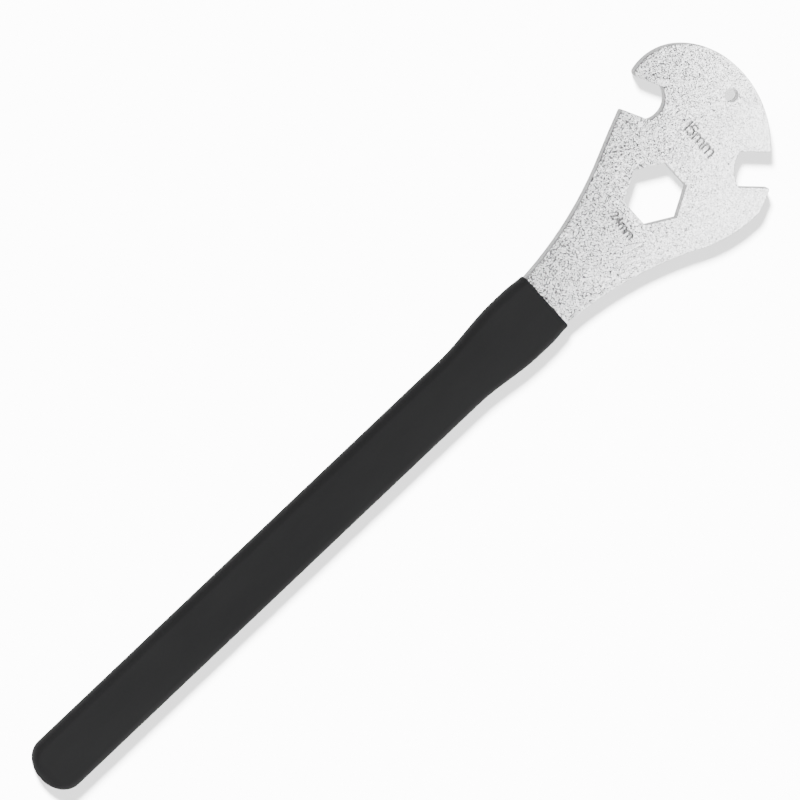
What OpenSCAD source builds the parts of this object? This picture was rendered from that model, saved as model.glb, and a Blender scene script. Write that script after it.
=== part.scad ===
// Flat pedal wrench: a plate with two open jaws and a hexagon, and a moulded sleeve over its long tang.
// The handle runs along X with the head at +X. The wrench lies flat, on the underside of the sleeve.
// The head is laid out from the centre of the hexagon, which lies a little to the left of the handle's line.
// The whole is then moved to its own centre.

/* [Plate] */
// Thickness of the plate
plate_t = 6; // [4:0.5:8]
// Radius of the rounded edge all round the plate
edge_r = 0.6; // [0.2:0.1:0.9]

/* [Openings] */
// Pedal axle flats that both jaws fit, across the flats
jaw_af = 15; // [13:0.5:16]
// Nut that the hexagon fits, across the flats
hex_af = 24; // [18:0.5:28]
// Play of each opening over the flats that it fits
play = 0.2; // [0.1:0.05:0.4]
// Diameter of the hole for hanging the wrench up
hang_d = 6; // [4:0.5:7]
// Distance of the hanging hole ahead of the hexagon
hang_x = 52.3; // [50:0.1:55]
// Distance of the hanging hole to the left of the hexagon
hang_y = 8.5; // [2:0.1:12]

/* [Fore jaw] */
// Direction in which the jaw opens, turned from the handle's line
fore_turn = -44.7; // [-50:0.1:-40]
// Distance of the jaw's middle line from the hexagon's centre
fore_off = 11.2; // [10:0.2:12]
// Distance of the jaw's floor from the hexagon's centre, along the jaw
fore_floor = 34.1; // [32:0.1:36]
// Radius of the hollow floor
fore_floor_r = 14.5; // [10:0.5:20]

/* [Hook jaw] */
// Direction in which the jaw opens, turned from the handle's line
hook_turn = 116; // [112:0.1:118]
// Distance of the jaw's middle line from the hexagon's centre
hook_off = 35.9; // [35:0.1:37]
// Distance of the jaw's floor from the hexagon's centre, along the jaw
hook_floor = 10.8; // [9:0.1:13]
// Radius of the hollow floor
hook_floor_r = 9.5; // [9:0.1:14]

/* [Head outline] */
// Radius of the crown, the front of the head
crown_r = 47.4; // [46:0.1:49]
// Distance of the crown's centre ahead of the hexagon
crown_x = 15.1; // [14:0.1:17]
// Distance of the crown's centre to the left of the hexagon
crown_y = 12; // [11:0.1:13]
// Direction in which the crown passes into the shoulder
crown_turn = 12; // [8:1:16]
// Radius of the shoulder, between the crown and the brow
shoulder_r = 33.5; // [31:0.5:36]
// Direction in which the shoulder passes into the brow
shoulder_turn = 50; // [45:1:55]
// Radius of the brow, the outside of the hooked prong
brow_r = 24.1; // [22:0.1:26]
// Radius of the right cheek, the convex side of the head behind the fore jaw
right_cheek_r = 61; // [55:1:66]
// Distance of the widest point of that cheek ahead of the hexagon's centre
right_cheek_x = 25.7; // [24:0.1:27]
// Distance of that point to the right of the hexagon's centre
right_cheek_y = 37.4; // [36.5:0.1:38.3]
// Radius of the left cheek, which is nearly straight
left_cheek_r = 400; // [300:10:500]
// Radius of the hooked prong's tip
hook_tip_r = 2; // [1:0.1:3]
// Radius of the other corners beside the jaws
tip_r = 1; // [0.9:0.1:1.5]
// Direction of the short flank that blunts the prong behind the fore jaw
bevel_turn = 26; // [23:1:29]
// Depth to which that flank is cut into the right cheek
bevel_cut = 4.9; // [4.4:0.1:5.3]
// Radius with which that flank passes into the right cheek
heel_r = 10; // [6:1:14]

/* [Neck] */
// Distance of the handle's middle line to the right of the hexagon's centre
handle_off = 1.4; // [0:0.1:2]
// Width of the plate at the root of the neck
root_w = 26.3; // [25:0.1:28]
// Distance of the neck's root behind the hexagon's centre, on the left
left_root = 79; // [75:0.1:81]
// Radius of the hollow right side of the neck
right_neck_r = 158; // [150:1:166]
// Radius of the hollow left side of the neck
left_neck_r = 168.5; // [160:0.5:176]
// Slope at which the left side of the neck passes into its cheek
left_neck_turn = 25.6; // [24:0.1:27]

/* [Grip] */
// Distance from the mouth of the sleeve to the hexagon's centre
mouth_x = 65; // [60:0.5:70]
// Length of the sleeve
grip_len = 294.5; // [200:0.5:340]
// Width of the sleeve along the handle
grip_w = 25; // [22:0.5:28]
// Wall of the sleeve at its sides
side_wall = 2.1; // [1.2:0.1:3]
// Wall of the sleeve over and under the plate
face_wall = 1.5; // [1:0.1:3]
// Wall of the sleeve beyond the end of the tang
end_wall = 3; // [2:0.5:6]
// Radius of the sleeve's long edges
grip_edge = 3.2; // [1.5:0.1:3.4]
// Length of the rounded end, seen from above
end_len = 10; // [7:0.5:12.5]
// Length over which the end thins, seen from the side
end_thin = 5; // [3:0.5:7]
// Distance from the mouth to where the sleeve starts to narrow
waist_at = 17; // [15:1:30]
// Length over which it narrows
waist_len = 34; // [20:1:40]
// Amount by which each side draws in towards the mouth
lip_in = 0.75; // [0:0.05:1]
// Length over which it draws in
lip_len = 10.5; // [6:0.5:14]
// Radius of the rim at the mouth
rim_r = 0.6; // [0.2:0.1:0.9]
// Clearance between the sleeve and the tang
fit_gap = 0.05; // [0.02:0.01:0.15]

/* [Hidden] */
$fn = 96;

// Fineness of the long arcs, the neck's arcs and the small corners, in degrees
arc_step = 3;
neck_step = 2;
tip_step = 18;
// Steps round a rounded edge of the plate, and round a long edge and the rim of the sleeve
edge_steps = 3;
corner_steps = 6;
rim_steps = 3;
// Stations along each curved stretch of the sleeve and of the tang inside it
end_steps = 12;
waist_steps = 14;
lip_steps = 6;
// Length by which a cut runs past what it cuts
beyond = 8;
// Rounding left out at the very tip of the sleeve's end, which is a small flat
tip_flat = 0.15;
// Points of an outline that are closer than this are one point
same_point = 0.001;

jaw_w = jaw_af + play;
hex_w = hex_af + play;
tang_w = grip_w - 2 * side_wall;
tang_x = -mouth_x - grip_len + end_wall;
tang_end = end_len - end_wall / 2;
grip_t = plate_t + 2 * face_wall;
waist_end = waist_at + waist_len;

function dir(turn) = [cos(turn), sin(turn)];
function left_of(v) = [-v.y, v.x];
function turn_of(v) = atan2(v.y, v.x);
function ease(t) = (1 - cos(180 * max(0, min(1, t)))) / 2;

// Points of an arc, from one direction to another
function arc(c, r, from, to, step = arc_step) =
    let (n = max(2, ceil(abs(to - from) / step)))
    [for (i = [0:n]) c + r * dir(from + (to - from) * i / n)];

// Centres of the arcs that make up the front of the head, each tangent to the next
crown_c = [crown_x, crown_y];
shoulder_c = crown_c + (crown_r - shoulder_r) * dir(crown_turn);
brow_c = shoulder_c + (shoulder_r - brow_r) * dir(shoulder_turn);

// Centres of the right cheek and of the hollow neck, and the slope at which they pass into each other
right_cheek_c = [right_cheek_x, right_cheek_r - right_cheek_y];
right_neck_y = -handle_off - root_w / 2 - right_neck_r;
right_neck_turn = acos((right_cheek_c.y - right_neck_y) / (right_neck_r + right_cheek_r));
right_neck_c = [right_cheek_x - (right_neck_r + right_cheek_r) * sin(right_neck_turn), right_neck_y];

// Centres of the hollow neck and the cheek on the left, tangent to each other
left_neck_c = [-left_root, -handle_off + root_w / 2 + left_neck_r];
left_cheek_c = left_neck_c + (left_neck_r + left_cheek_r) * dir(left_neck_turn - 90);

// Centre of a rounded corner between a circle and a straight flank.
// The flank has an outward normal and a distance, and ahead is the way along it to the corner.
function corner(c, circle_r, normal, dist, r, ahead) =
    let (s = dist - r - normal * c)
    c + s * normal + sqrt((circle_r - r) ^ 2 - s ^ 2) * ahead;

// Centre of a rounded corner between two straight flanks, each with its outward normal and distance
function crossing(n1, dist1, n2, dist2, r) =
    let (k1 = dist1 - r, k2 = dist2 - r, det = n1.x * n2.y - n1.y * n2.x)
    [(k1 * n2.y - k2 * n1.y) / det, (n1.x * k2 - n2.x * k1) / det];

// Hollow floor of a jaw, from the flank that the outline meets first to the other one
function jaw_floor(turn, off, floor_at, r) =
    let (half = asin(jaw_w / 2 / r))
    arc((floor_at + r) * dir(turn) + off * left_of(dir(turn)), r, turn + 180 + half, turn + 180 - half);

// Outward normals of the flanks beside each jaw, first and last along the outline
fore_first = left_of(dir(fore_turn));
fore_last = -fore_first;
hook_first = left_of(dir(hook_turn));
hook_last = -hook_first;
bevel_n = dir(bevel_turn - 90);
bevel_off = right_cheek_c * bevel_n + right_cheek_r - bevel_cut;

// Centres of the rounded corners, in the order in which the outline meets them
heel_c = corner(right_cheek_c, right_cheek_r, bevel_n, bevel_off, heel_r, -dir(bevel_turn));
prong_c = crossing(bevel_n, bevel_off, fore_first, fore_off - jaw_w / 2, tip_r);
nose_c = corner(crown_c, crown_r, fore_last, -fore_off - jaw_w / 2, tip_r, dir(fore_turn));
hook_c = corner(brow_c, brow_r, hook_first, -hook_off - jaw_w / 2, hook_tip_r, dir(hook_turn));
chin_c = corner(left_cheek_c, left_cheek_r, hook_last, hook_off - jaw_w / 2, tip_r, dir(hook_turn));

// Centre of the whole, seen from above. The widest point on the right is on the cheek or on the heel.
head_end = crown_x + crown_r;
tail_end = -mouth_x - grip_len;
left_side = brow_c.y + brow_r;
right_side = heel_c.x > right_cheek_x ? -right_cheek_y : heel_c.y - heel_r;
middle = [(head_end + tail_end) / 2, (left_side + right_side) / 2];

// Half width of the tang and of the sleeve, by the distance behind the mouth
function tang_half(d) = tang_w / 2 + (root_w - tang_w) / 2 * (1 - ease((d - waist_at) / waist_len));
function grip_half(d) = tang_half(d) + side_wall - lip_in * (1 - ease(d / lip_len));

// Distance and half width at points along the tang, from its rounded end to the root of the neck
tang_line = concat(
    [for (a = [0:10:90]) [tang_x + tang_end * (1 - cos(a)), tang_w / 2 * sin(a)]],
    [for (i = [0:waist_steps])
        let (d = waist_end - waist_len * i / waist_steps)
        [-mouth_x - d, tang_half(d)]
    ]
);
tang_last = len(tang_line) - 1;

// Outline of the plate without its hexagon and hole, anticlockwise from the end of the tang
outline = distinct(concat(
    [for (i = [0:tang_last]) [tang_line[i].x, -handle_off - tang_line[i].y]],
    arc(right_neck_c, right_neck_r, 90, 90 - right_neck_turn, neck_step),
    arc(right_cheek_c, right_cheek_r, -90 - right_neck_turn, turn_of(heel_c - right_cheek_c)),
    arc(heel_c, heel_r, turn_of(heel_c - right_cheek_c), turn_of(bevel_n)),
    arc(prong_c, tip_r, turn_of(bevel_n), turn_of(fore_first), tip_step),
    jaw_floor(fore_turn, fore_off, fore_floor, fore_floor_r),
    arc(nose_c, tip_r, turn_of(fore_last), turn_of(nose_c - crown_c), tip_step),
    arc(crown_c, crown_r, turn_of(nose_c - crown_c), crown_turn),
    arc(shoulder_c, shoulder_r, crown_turn, shoulder_turn),
    arc(brow_c, brow_r, shoulder_turn, turn_of(hook_c - brow_c)),
    arc(hook_c, hook_tip_r, turn_of(hook_c - brow_c), turn_of(hook_first) + 360, tip_step),
    jaw_floor(hook_turn, -hook_off, hook_floor, hook_floor_r),
    arc(chin_c, tip_r, turn_of(hook_last), turn_of(chin_c - left_cheek_c), tip_step),
    arc(left_cheek_c, left_cheek_r, turn_of(chin_c - left_cheek_c), 90 + left_neck_turn),
    arc(left_neck_c, left_neck_r, left_neck_turn - 90, -90, neck_step),
    [for (i = [tang_last:-1:0]) [tang_line[i].x, -handle_off + tang_line[i].y]]
));

// The stretch of the outline that the sleeve covers, run on a little past the mouth
covered = [for (p = outline) if (p.x < beyond - mouth_x) p];

function distinct(path) =
    [for (i = [0:len(path) - 1]) if (norm(path[(i + 1) % len(path)] - path[i]) > same_point) path[i]];

// Unit vector to the right of the way from one point to the next, which is outwards on an outline
function outward(p, q) = let (v = q - p) [v.y, -v.x] / norm(v);

// An outline moved in by an amount, with each corner mitred
function inset(path, amount) =
    let (n = len(path))
    [for (i = [0:n - 1])
        let (
            before = outward(path[(i + n - 1) % n], path[i]),
            after = outward(path[i], path[(i + 1) % n])
        )
        path[i] - amount * (before + after) / (1 + before * after)
    ];

// Closed solid through a row of rings with equal numbers of points.
// Its ends are closed by the first and last ring, or else the last ring is joined to the first.
module skin(rings, ends = true) {
    n = len(rings[0]);
    m = len(rings);
    sides = [for (i = [0:ends ? m - 2 : m - 1], j = [0:n - 1], half = [0, 1])
        let (a = i * n + j, b = i * n + (j + 1) % n, up = (i + 1) % m * n - i * n)
        half == 0 ? [a, a + up, b + up] : [a, b + up, b]
    ];
    caps = [[for (j = [0:n - 1]) j], [for (j = [n - 1:-1:0]) (m - 1) * n + j]];
    polyhedron([for (ring = rings, p = ring) p], ends ? concat(caps, sides) : sides);
}

// What is ground off the lower edge of a plate all along its outline, to round the edge.
// Its section runs past both faces that it meets, along the first and the last facet of the rounding.
module edge_waste(path, r) {
    facets = [for (k = [0:edge_steps]) let (a = 90 * k / edge_steps) [r * (1 - sin(a)), r * (1 - cos(a))]];
    start = facets[0] + (facets[0] - facets[1]) / 2;
    end = facets[edge_steps] + (facets[edge_steps] - facets[edge_steps - 1]) / 2;
    rounding = [for (k = [edge_steps - 1:-1:1]) facets[k]];
    section = concat([[-r / 2, -r / 2], end], rounding, [start]);
    skin([for (q = section) [for (p = inset(path, q[0])) [p.x, p.y, q[1]]]], ends = false);
}

// Share of the full size that the sleeve has near its end, where it rounds off over a length
function end_share(e, length) = e >= length ? 1 : sqrt(1 - (1 - (e + tip_flat) / (length + tip_flat)) ^ 2);

// Amount by which the rim draws in at the mouth
function rim_in(d) = d >= rim_r ? 0 : rim_r - sqrt(rim_r ^ 2 - (rim_r - d) ^ 2);

// Cross-section of the sleeve at a distance from its end: a rectangle with rounded long edges
function section(e) =
    let (
        d = grip_len - e,
        half_w = grip_half(d) * end_share(e, end_len) - rim_in(d),
        half_t = grip_t / 2 * end_share(e, end_thin) - rim_in(d),
        r = min(half_w, grip_edge * half_t / (grip_t / 2))
    )
    [for (q = [0:3], k = [0:corner_steps])
        let (
            a = 90 * (q + k / corner_steps),
            side = q == 0 || q == 3 ? 1 : -1,
            face = q < 2 ? 1 : -1
        )
        [
            tail_end + e,
            side * (half_w - r) + r * cos(a) - handle_off,
            grip_t / 2 + face * (half_t - r) + r * sin(a)
        ]
    ];

// Distances from the end at which the sleeve's section changes
stations = concat(
    [for (i = [0:end_steps]) end_len * (1 - cos(90 * i / end_steps))],
    [for (i = [0:waist_steps]) grip_len - waist_end + waist_len * i / waist_steps],
    [for (i = [0:lip_steps - 1]) grip_len - lip_len + (lip_len - rim_r) * i / lip_steps],
    [for (k = [0:rim_steps]) grip_len - rim_r * (1 - sin(90 * k / rim_steps))]
);

module steel_plate() {
    color("gainsboro")
    translate([-middle.x, -middle.y, face_wall])
    difference() {
        linear_extrude(plate_t) polygon(outline);
        edge_waste(outline, edge_r);
        translate([0, 0, plate_t])
        mirror([0, 0, 1])
        edge_waste(outline, edge_r);
        translate([0, 0, -beyond])
        rotate(30)
        cylinder(h = plate_t + 2 * beyond, d = hex_w / cos(30), $fn = 6);
        translate([hang_x, hang_y, -beyond])
        cylinder(h = plate_t + 2 * beyond, d = hang_d);
    }
}

module grip() {
    color("dimgray")
    translate([-middle.x, -middle.y, 0])
    difference() {
        skin([for (e = stations) section(e)]);
        translate([0, 0, face_wall - fit_gap])
        linear_extrude(plate_t + 2 * fit_gap) polygon(inset(covered, -fit_gap));
    }
}

steel_plate();
grip();
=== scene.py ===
"""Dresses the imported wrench: a plate of grained steel with stamped sizes and a moulded rubber grip."""

import math

import bmesh
import bpy
from mathutils import Matrix, Vector


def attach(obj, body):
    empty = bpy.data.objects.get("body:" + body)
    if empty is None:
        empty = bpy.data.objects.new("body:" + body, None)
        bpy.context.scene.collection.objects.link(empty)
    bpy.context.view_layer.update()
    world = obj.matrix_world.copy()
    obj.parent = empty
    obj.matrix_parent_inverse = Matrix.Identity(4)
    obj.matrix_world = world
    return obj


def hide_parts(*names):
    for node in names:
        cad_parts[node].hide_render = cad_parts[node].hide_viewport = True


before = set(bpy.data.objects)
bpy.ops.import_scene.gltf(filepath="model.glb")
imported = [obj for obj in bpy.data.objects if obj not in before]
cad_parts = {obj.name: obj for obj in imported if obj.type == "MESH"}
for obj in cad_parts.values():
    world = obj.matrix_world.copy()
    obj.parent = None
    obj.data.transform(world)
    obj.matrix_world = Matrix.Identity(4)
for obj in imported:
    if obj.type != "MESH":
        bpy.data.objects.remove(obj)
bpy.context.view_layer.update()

# The photograph: its scale, the tilt of the view, and where the middle of the hexagon is in it
IMAGE_PX = 800
PX_PER_M = 2360
HEXAGON_PX = Vector((654.2, 194.0))
HEXAGON = Vector((0.1485, -0.0044, 0.0075))
TILT = math.radians(14.6)
# Directions in which the view is tilted, in the picture (upwards) and on the floor
TILT_IN_PICTURE = Vector((-0.877, 0.481))
TILT_ON_FLOOR = Vector((-0.3145, 0.9495))

LENS_MM = 800
SENSOR_MM = 36


def add(name, data):
    obj = bpy.data.objects.new(name, data)
    bpy.context.scene.collection.objects.link(obj)
    return obj


def applied(obj):
    """The object's mesh with its modifiers carried out."""
    graph = bpy.context.evaluated_depsgraph_get()
    return bpy.data.meshes.new_from_object(obj.evaluated_get(graph), depsgraph=graph)


# Materials


class Nodes:
    """A material's node tree, with short calls for the nodes that the materials here share."""

    def __init__(self, name):
        self.material = bpy.data.materials.new(name)
        self.material.use_nodes = True
        self.tree = self.material.node_tree
        self.shader = self.tree.nodes["Principled BSDF"]
        self.place = self.tree.nodes.new("ShaderNodeTexCoord").outputs["Object"]

    def link(self, source, target):
        self.tree.links.new(source, target)

    def noise(self, size, detail=2.0, rough=0.5, stretch=None):
        """Noise with features of about that size in metres, as a value from 0 to 1."""
        node = self.tree.nodes.new("ShaderNodeTexNoise")
        node.inputs["Scale"].default_value = 1 / size
        node.inputs["Detail"].default_value = detail
        node.inputs["Roughness"].default_value = rough
        place = self.place
        if stretch:
            mapping = self.tree.nodes.new("ShaderNodeMapping")
            mapping.inputs["Scale"].default_value = stretch
            self.link(place, mapping.inputs["Vector"])
            place = mapping.outputs["Vector"]
        self.link(place, node.inputs["Vector"])
        return node.outputs["Fac"]

    def remap(self, value, lo, hi, to_lo, to_hi):
        node = self.tree.nodes.new("ShaderNodeMapRange")
        for name, number in zip(("From Min", "From Max", "To Min", "To Max"), (lo, hi, to_lo, to_hi)):
            node.inputs[name].default_value = number
        self.link(value, node.inputs["Value"])
        return node.outputs["Result"]

    def math(self, operation, a, b):
        node = self.tree.nodes.new("ShaderNodeMath")
        node.operation = operation
        for socket, value in zip(node.inputs, (a, b)):
            if isinstance(value, (int, float)):
                socket.default_value = value
            else:
                self.link(value, socket)
        return node.outputs["Value"]

    def ramp(self, value, stops):
        """Colour by a value, from (position, colour) pairs."""
        node = self.tree.nodes.new("ShaderNodeValToRGB")
        elements = node.color_ramp.elements
        while len(elements) < len(stops):
            elements.new(0.5)
        for element, (position, colour) in zip(elements, stops):
            element.position = position
            element.color = (*colour, 1)
        self.link(value, node.inputs["Fac"])
        return node.outputs["Color"]

    def vector(self, operation, a, b=None):
        node = self.tree.nodes.new("ShaderNodeVectorMath")
        node.operation = operation
        self.link(a, node.inputs[0])
        if b is not None:
            if isinstance(b, tuple):
                node.inputs[1].default_value = b
            else:
                self.link(b, node.inputs[1])
        return node.outputs["Vector"]

    def grains(self, size):
        """A random colour for each grain of about that size in metres."""
        node = self.tree.nodes.new("ShaderNodeTexVoronoi")
        node.inputs["Scale"].default_value = 1 / size
        self.link(self.place, node.inputs["Vector"])
        return node.outputs["Color"]

    def facets(self, size, slope):
        """Surface normals that lean at random from grain to grain, by up to half of that slope."""
        centred = self.vector("SUBTRACT", self.grains(size), (0.5, 0.5, 0.5))
        lean = self.vector("MULTIPLY", centred, (slope, slope, slope))
        normal = self.tree.nodes.new("ShaderNodeNewGeometry").outputs["Normal"]
        return self.vector("NORMALIZE", self.vector("ADD", normal, lean))

    def within(self, centre, reach):
        """1 at places nearer than that reach to the centre, and 0 elsewhere."""
        node = self.tree.nodes.new("ShaderNodeVectorMath")
        node.operation = "DISTANCE"
        self.link(self.place, node.inputs[0])
        node.inputs[1].default_value = centre
        return self.math("LESS_THAN", node.outputs["Value"], reach)

    def below(self, height):
        """1 at places lower than that height, and 0 elsewhere."""
        node = self.tree.nodes.new("ShaderNodeSeparateXYZ")
        self.link(self.place, node.inputs["Vector"])
        return self.math("LESS_THAN", node.outputs["Z"], height)

    def bump(self, height, strength, distance):
        node = self.tree.nodes.new("ShaderNodeBump")
        node.inputs["Strength"].default_value = strength
        node.inputs["Distance"].default_value = distance
        self.link(height, node.inputs["Height"])
        return node.outputs["Normal"]


GRAIN = 0.00031

# The size marks stamped in the face: text, centre, height of a digit, turn in degrees
MARKS = [
    ("15mm", HEXAGON + Vector((0.0298, 0.0037, 0)), 0.0049, 0),
    ("24mm", HEXAGON + Vector((-0.0193, 0.0, 0)), 0.0034, -4),
]
# How far painted shade darkens the steel's colour in the stamped grooves, as a factor on that colour
MARK_PAINTED_SHADE = 0.6


def steel():
    """Plated steel with a fine blasted grain, patchy in tone, a few faint marks of handling, and painted shade
    darkening its stamped marks.
    """
    n = Nodes("grained_steel")
    grain = n.grains(1.13 * GRAIN)
    patches = n.noise(0.012, detail=4.0)
    rolled = n.noise(0.004, detail=3.0, stretch=(0.15, 1, 1))
    tone = n.math("ADD", n.math("MULTIPLY", grain, 0.8), n.math("MULTIPLY", patches, 0.2))
    colour = n.ramp(tone, [(0.25, (0.4, 0.4, 0.405)), (0.5, (0.78, 0.78, 0.785)), (0.7, (1, 1, 1))])
    # Painted shade: the colour is darkened in the stamped grooves, below the face and near the marks, standing in for
    # their shade
    sunk = n.math("SUBTRACT", n.below(HEXAGON.z - 5e-6), n.below(HEXAGON.z - 0.6e-3))
    stamped = n.math("ADD", *(n.within(centre, 2.0 * height) for _, centre, height, _ in MARKS))
    painted_mark_shade = n.remap(n.math("MULTIPLY", sunk, stamped), 0, 1, 1, MARK_PAINTED_SHADE)
    n.link(n.vector("MULTIPLY", colour, painted_mark_shade), n.shader.inputs["Base Color"])
    rough = n.math("ADD", n.remap(grain, 0.2, 0.8, 0.16, 0.26), n.remap(rolled, 0.3, 0.7, -0.03, 0.03))
    n.link(rough, n.shader.inputs["Roughness"])
    n.shader.inputs["Metallic"].default_value = 1.0
    n.link(n.facets(GRAIN, 0.78), n.shader.inputs["Normal"])
    return n.material


def rubber():
    """Matt black moulded rubber with a fine pebbled skin and faint smears where a hand holds it."""
    n = Nodes("black_rubber")
    pebbles = n.noise(0.0007, detail=3.0, rough=0.6)
    smears = n.noise(0.03, detail=4.0, rough=0.6, stretch=(0.4, 1, 1))
    colour = n.ramp(smears, [(0.3, (0.05, 0.05, 0.051)), (0.7, (0.061, 0.061, 0.062))])
    n.link(colour, n.shader.inputs["Base Color"])
    rough = n.math("ADD", n.remap(pebbles, 0.3, 0.7, 0.55, 0.7), n.remap(smears, 0.3, 0.7, -0.05, 0.05))
    n.link(rough, n.shader.inputs["Roughness"])
    n.shader.inputs["Specular IOR Level"].default_value = 0.07
    n.link(n.bump(pebbles, 0.4, 0.00008), n.shader.inputs["Normal"])
    return n.material


def matt(name, grey):
    n = Nodes(name)
    colour = n.ramp(n.noise(0.4), [(0.3, (grey - 0.01,) * 3), (0.7, (grey,) * 3)])
    n.link(colour, n.shader.inputs["Base Color"])
    n.shader.inputs["Roughness"].default_value = 0.9
    n.shader.inputs["Specular IOR Level"].default_value = 0.0
    return n.material


# The object

WELD = 1e-6
FLAT = math.radians(0.4)
RIM_ANGLE = math.radians(65)
RIM_WIDTH = 0.00025
SMOOTH_ANGLE = math.radians(35)


def copy_of(node, name):
    """A piece with the form of a CAD node, its doubled points joined and its flat faces whole."""
    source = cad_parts[node]
    mesh = source.data.copy()
    mesh.transform(source.matrix_world)
    mesh.materials.clear()
    work = bmesh.new()
    work.from_mesh(mesh)
    bmesh.ops.remove_doubles(work, verts=work.verts, dist=WELD)
    bmesh.ops.dissolve_limit(work, angle_limit=FLAT, verts=work.verts, edges=work.edges)
    work.to_mesh(mesh)
    work.free()
    return add(name, mesh)


def shade(obj):
    """Smooth shading that keeps flat faces flat and sharp edges sharp."""
    work = bmesh.new()
    work.from_mesh(obj.data)
    for face in work.faces:
        face.smooth = True
    for edge in work.edges:
        edge.smooth = edge.calc_face_angle(0) < SMOOTH_ANGLE
    work.to_mesh(obj.data)
    work.free()
    weighted = obj.modifiers.new("even_shading", "WEIGHTED_NORMAL")
    weighted.keep_sharp = True


def settle(obj):
    """Carries out the object's modifiers for good and joins points that fall together."""
    obj.data = applied(obj)
    obj.modifiers.clear()
    work = bmesh.new()
    work.from_mesh(obj.data)
    bmesh.ops.remove_doubles(work, verts=work.verts, dist=WELD)
    work.to_mesh(obj.data)
    work.free()


# Strokes of the stamped characters, in heights of a digit: the width, then each line of points
STROKES = {
    "1": (0.0, [[(-0.14, 0.8), (0, 1), (0, 0)]]),
    "2": (0.55, [[(0.02, 0.8), (0.12, 0.95), (0.3, 1), (0.48, 0.92), (0.53, 0.74), (0.42, 0.52), (0, 0), (0.55, 0)]]),
    "4": (0.6, [[(0.42, 0), (0.42, 1), (0, 0.3), (0.6, 0.3)]]),
    "5": (0.54, [[(0.5, 1), (0.06, 1), (0.02, 0.55), (0.24, 0.64), (0.46, 0.53), (0.54, 0.32), (0.45, 0.1), (0.22, 0), (0, 0.08)]]),
    "m": (1.0, [
        [(0, 0.69), (0, 0)],
        [(0, 0.5), (0.12, 0.66), (0.28, 0.69), (0.44, 0.62), (0.5, 0.46), (0.5, 0)],
        [(0.5, 0.5), (0.62, 0.66), (0.78, 0.69), (0.94, 0.62), (1, 0.46), (1, 0)],
    ]),
}
STROKE_GAP = 0.24
STROKE_WIDTH = 0.001
STROKE_DEPTH = 0.00045


def groove(work, start, end):
    """Adds one closed wedge, whose edge lies below the face between two points and whose sides slope up past it."""
    along = (end - start).normalized()
    side = Vector((-along.y, along.x, 0))
    reach = STROKE_WIDTH
    top = Vector((0, 0, STROKE_DEPTH))
    corners = [
        start - reach * along - reach * side + top,
        end + reach * along - reach * side + top,
        end + reach * along + reach * side + top,
        start - reach * along + reach * side + top,
        start - top,
        end - top,
    ]
    verts = [work.verts.new(corner) for corner in corners]
    for face in ((0, 1, 2, 3), (1, 0, 4, 5), (3, 2, 5, 4), (0, 3, 4), (2, 1, 5)):
        work.faces.new([verts[k] for k in face])


def stamp_tool(text, centre, height, turn):
    """A tool of wedges that cuts those characters into the plate's face.

    They stand in a row across the handle and read from the left side of the head to the right.
    """
    length = sum(STROKES[c][0] for c in text) + STROKE_GAP * (len(text) - 1)
    place = Matrix.Translation(centre) @ Matrix.Rotation(math.radians(turn - 90), 4, "Z")
    work = bmesh.new()
    start = -length / 2
    for c in text:
        width, lines = STROKES[c]
        for line in lines:
            points = [place @ Vector(((start + x) * height, (y - 0.5) * height, 0)) for x, y in line]
            for one, other in zip(points, points[1:]):
                groove(work, one, other)
        start += width + STROKE_GAP
    bmesh.ops.recalc_face_normals(work, faces=work.faces)
    mesh = bpy.data.meshes.new("stamp_" + text)
    work.to_mesh(mesh)
    work.free()
    return add("stamp_" + text, mesh)


def steel_plate():
    plate = copy_of("steel_plate", "steel_plate_dressed")
    rim = plate.modifiers.new("rim", "BEVEL")
    rim.limit_method = "ANGLE"
    rim.angle_limit = RIM_ANGLE
    rim.width = RIM_WIDTH
    rim.segments = 2
    settle(plate)
    tools = [stamp_tool(*mark) for mark in MARKS]
    for tool in tools:
        cut = plate.modifiers.new("cut_" + tool.name, "BOOLEAN")
        cut.operation = "DIFFERENCE"
        cut.solver = "EXACT"
        cut.use_self = True
        cut.object = tool
    settle(plate)
    for tool in tools:
        bpy.data.objects.remove(tool)
    plate.data.materials.clear()
    plate.data.materials.append(steel())
    shade(plate)
    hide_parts("steel_plate")
    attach(plate, "root")
    return plate


def grip():
    sleeve = copy_of("grip", "grip_dressed")
    sleeve.data.materials.append(rubber())
    shade(sleeve)
    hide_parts("grip")
    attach(sleeve, "root")
    return sleeve


# The stage


def sheet(name, half, height, material):
    corners = [(-half, -half, height), (half, -half, height), (half, half, height), (-half, half, height)]
    mesh = bpy.data.meshes.new(name)
    mesh.from_pydata(corners, [], [(0, 1, 2, 3)])
    mesh.materials.append(material)
    obj = add(name, mesh)
    return obj


def floor():
    """The white floor that the camera sees. It is too bright to light the wrench, which has a grey card for that."""
    ground = sheet("floor", 6.0, 0.0, matt("pale_floor", 0.9))
    ground.visible_diffuse = False
    ground.visible_glossy = False
    card = sheet("card", 3.0, 0.0001, matt("grey_card", 0.5))
    card.visible_camera = False
    card.visible_shadow = False
    return ground, card


def view_axes():
    """Right, up and towards the camera, in the row frame."""
    back = Vector((*(TILT_ON_FLOOR * math.sin(TILT)), math.cos(TILT)))
    along = Vector((*(TILT_ON_FLOOR * math.cos(TILT)), -math.sin(TILT)))
    aside = Vector((TILT_ON_FLOOR.y, -TILT_ON_FLOOR.x, 0))
    right = TILT_IN_PICTURE.x * along + TILT_IN_PICTURE.y * aside
    up = TILT_IN_PICTURE.y * along - TILT_IN_PICTURE.x * aside
    return right, up, back


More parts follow.
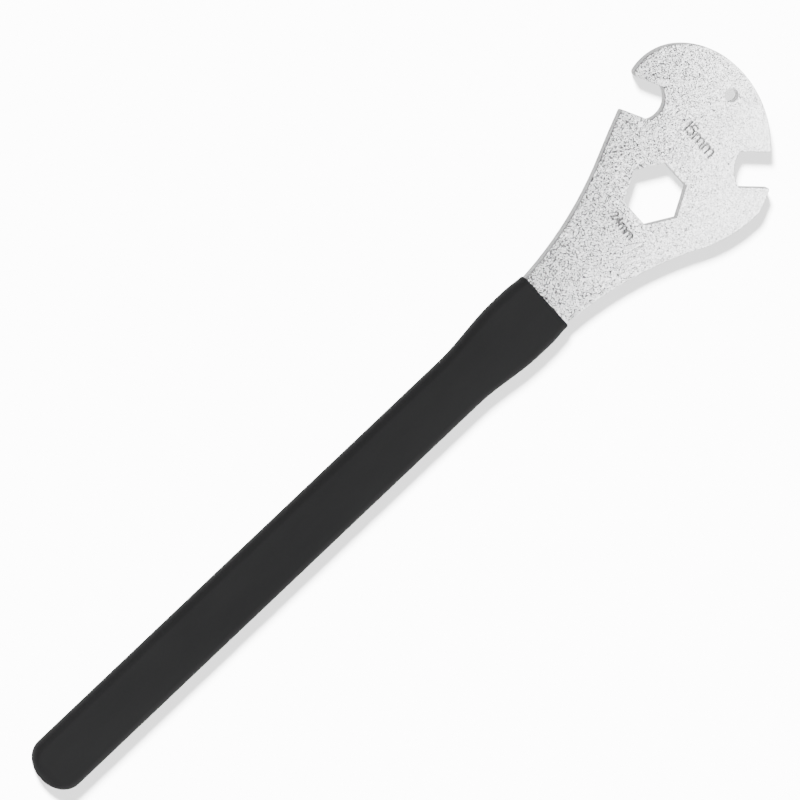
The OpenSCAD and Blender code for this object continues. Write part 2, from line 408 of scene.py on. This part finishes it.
def camera():
    right, up, back = view_axes()
    off = (HEXAGON_PX - Vector((IMAGE_PX / 2, IMAGE_PX / 2))) / PX_PER_M
    target = HEXAGON - off.x * right + off.y * up
    distance = IMAGE_PX / PX_PER_M * LENS_MM / SENSOR_MM
    lens = bpy.data.cameras.new("camera")
    lens.lens = LENS_MM
    lens.sensor_width = SENSOR_MM
    lens.clip_end = 100
    eye = add("camera", lens)
    turn = Matrix((right, up, back)).transposed().to_4x4()
    eye.matrix_world = Matrix.Translation(target + distance * back) @ turn
    bpy.context.scene.camera = eye


def aimed(obj, place, target):
    place, target = Vector(place), Vector(target)
    turn = (target - place).to_track_quat("-Z", "Y").to_matrix().to_4x4()
    obj.matrix_world = Matrix.Translation(place) @ turn


def given_to(light, things):
    """Lets that light fall on those things alone."""
    takers = bpy.data.collections.new(light.name + "_takers")
    for thing in things:
        takers.objects.link(thing)
    light.light_linking.receiver_collection = takers


def softbox(name, place, target, size, radiance):
    """A rectangular light of that radiance, which the camera doesn't see."""
    light = bpy.data.lights.new(name, "AREA")
    light.shape = "RECTANGLE"
    light.size, light.size_y = size
    light.energy = math.pi * size[0] * size[1] * radiance
    box = add(name, light)
    aimed(box, place, target)
    box.visible_camera = False
    return box


def floor_light(name, sheets, place, strength, degrees, shadow):
    """A light that only the floor takes, so that the wrench's shadow falls on white."""
    light = bpy.data.lights.new(name, "SUN")
    light.energy = strength
    light.angle = math.radians(degrees)
    light.use_shadow = shadow
    sun = add(name, light)
    aimed(sun, place, (0, 0, 0))
    given_to(sun, sheets)


def sky():
    """Soft light from all round, brighter towards the right of the picture and dim low on the left."""
    world = bpy.data.worlds.new("studio")
    world.use_nodes = True
    bpy.context.scene.world = world
    tree = world.node_tree
    place = tree.nodes.new("ShaderNodeTexCoord").outputs["Generated"]
    side = tree.nodes.new("ShaderNodeVectorMath")
    side.operation = "DOT_PRODUCT"
    side.inputs[1].default_value = (*TILT_ON_FLOOR, 0)
    tree.links.new(place, side.inputs[0])
    brighter = tree.nodes.new("ShaderNodeMath")
    brighter.operation = "MAXIMUM"
    for socket, slope in zip(brighter.inputs, (SKY, FAR_SKY)):
        ramp = tree.nodes.new("ShaderNodeMapRange")
        for name, number in slope.items():
            ramp.inputs[name].default_value = number
        tree.links.new(side.outputs["Value"], ramp.inputs["Value"])
        tree.links.new(ramp.outputs["Result"], socket)
    tree.links.new(brighter.outputs["Value"], tree.nodes["Background"].inputs["Strength"])
    tree.nodes["Background"].inputs["Color"].default_value = (1, 1, 1, 1)


# The light over the right of the wrench: its near edge is over the plate, so that the steel dims to the left
BOX_EDGE = 0.008
BOX_HEIGHT = 0.055
BOX_SIZE = (0.9, 0.3)
BOX_RADIANCE = 4.4
# Radiance of the sky, from the right of the picture to the left
SKY = {"From Min": -0.45, "From Max": 0.1, "To Min": 1.3, "To Max": 0.1}
# and low on the left, where the steel mirrors it only in views from the other side
FAR_SKY = {"From Min": 0.45, "From Max": 0.75, "To Min": 0.1, "To Max": 0.6}


def lights(wrench, sheets):
    right, up, _ = view_axes()
    away = 0.9 * up - 0.43 * right
    floor_light("floor_key", sheets[:1], (away.x, away.y, 0.86), 58, 14, True)
    floor_light("floor_fill", sheets, (0, 0, 1), 6.4, 14, False)
    aside = Vector((0.48, -0.88, 0)).normalized()
    middle = HEXAGON + (BOX_EDGE + 0.5 * BOX_SIZE[1]) * aside
    box = softbox("right_box", middle + Vector((0, 0, BOX_HEIGHT)), middle, BOX_SIZE, BOX_RADIANCE)
    box.rotation_euler = (0, 0, math.atan2(aside.y, aside.x) + math.pi / 2)
    given_to(box, wrench[:1])


wrench = [steel_plate(), grip()]
camera()
sky()
lights(wrench, floor())
